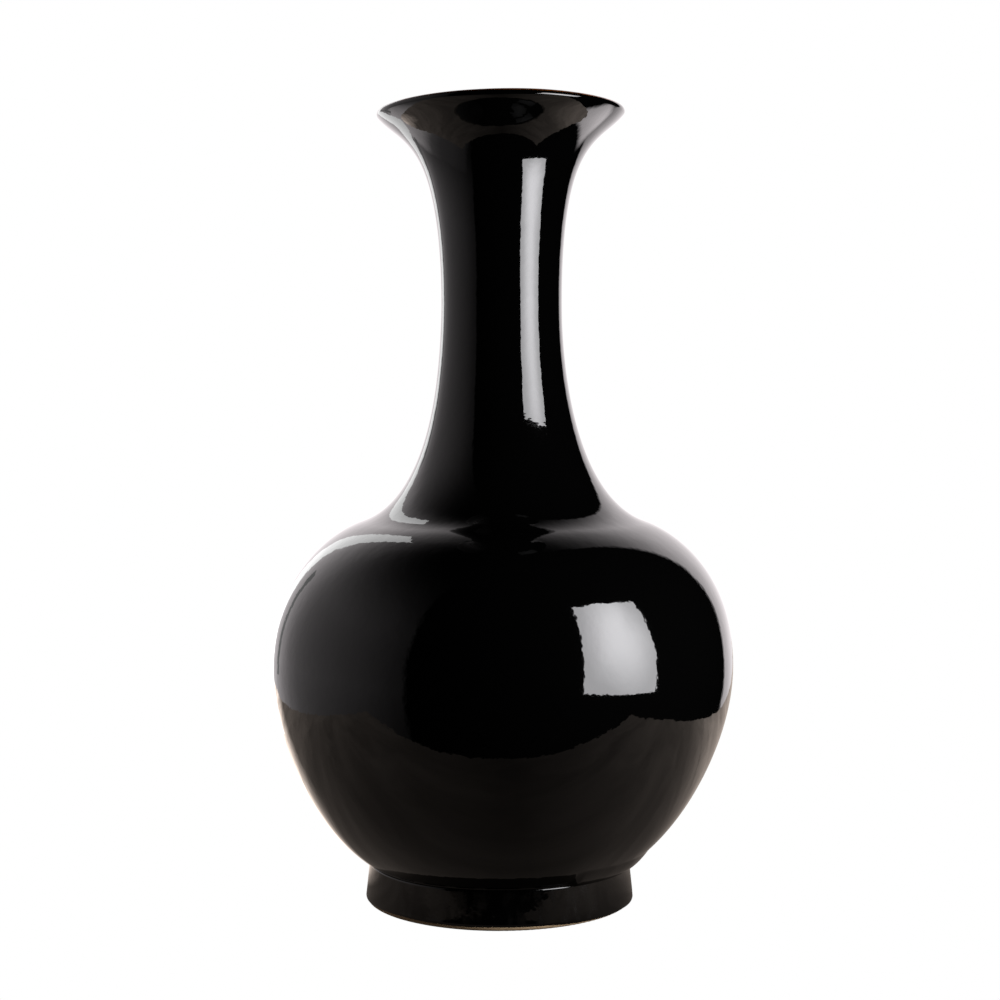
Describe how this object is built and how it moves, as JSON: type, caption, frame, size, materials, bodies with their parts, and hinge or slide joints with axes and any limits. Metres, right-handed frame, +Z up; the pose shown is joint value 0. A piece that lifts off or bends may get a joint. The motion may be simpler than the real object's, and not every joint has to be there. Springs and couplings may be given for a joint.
{
  "type": "bottle vase",
  "caption": "Tall bottle vase with a round belly, long narrow neck, flared mouth, rolled lip and raised foot ring, glossy black glaze over pale clay.",
  "frame": {"origin": "centre of the foot ring's standing face, on the ground", "axes": "+Z up along the axis that the pot was turned on; -Y is the front, where the lap in the foot joint is"},
  "size_m": [0.35, 0.3498, 0.6],
  "materials": {
    "body_clay": "fired buff stoneware, thrown, bare under the floor and covered elsewhere",
    "foot_clay": "fired buff stoneware, trimmed, with its edge wiped clean of glaze",
    "joining_slip": "fired slip in the luted joints, matte and slightly coarser than the body",
    "black_glaze": "glossy black glaze in one coat over the outside, the lip and the inside, lightly uneven, breaking brown at the lip"
  },
  "bodies": {
    "root": {"foot_ring": "foot_clay", "foot_joint_slip": "joining_slip", "lower_body": "body_clay", "belly_joint_slip": "joining_slip", "upper_body": "body_clay", "neck_joint_slip": "joining_slip", "neck": "body_clay", "outer_glaze": "black_glaze", "inner_glaze": "black_glaze"}
  },
  "joints": []
}
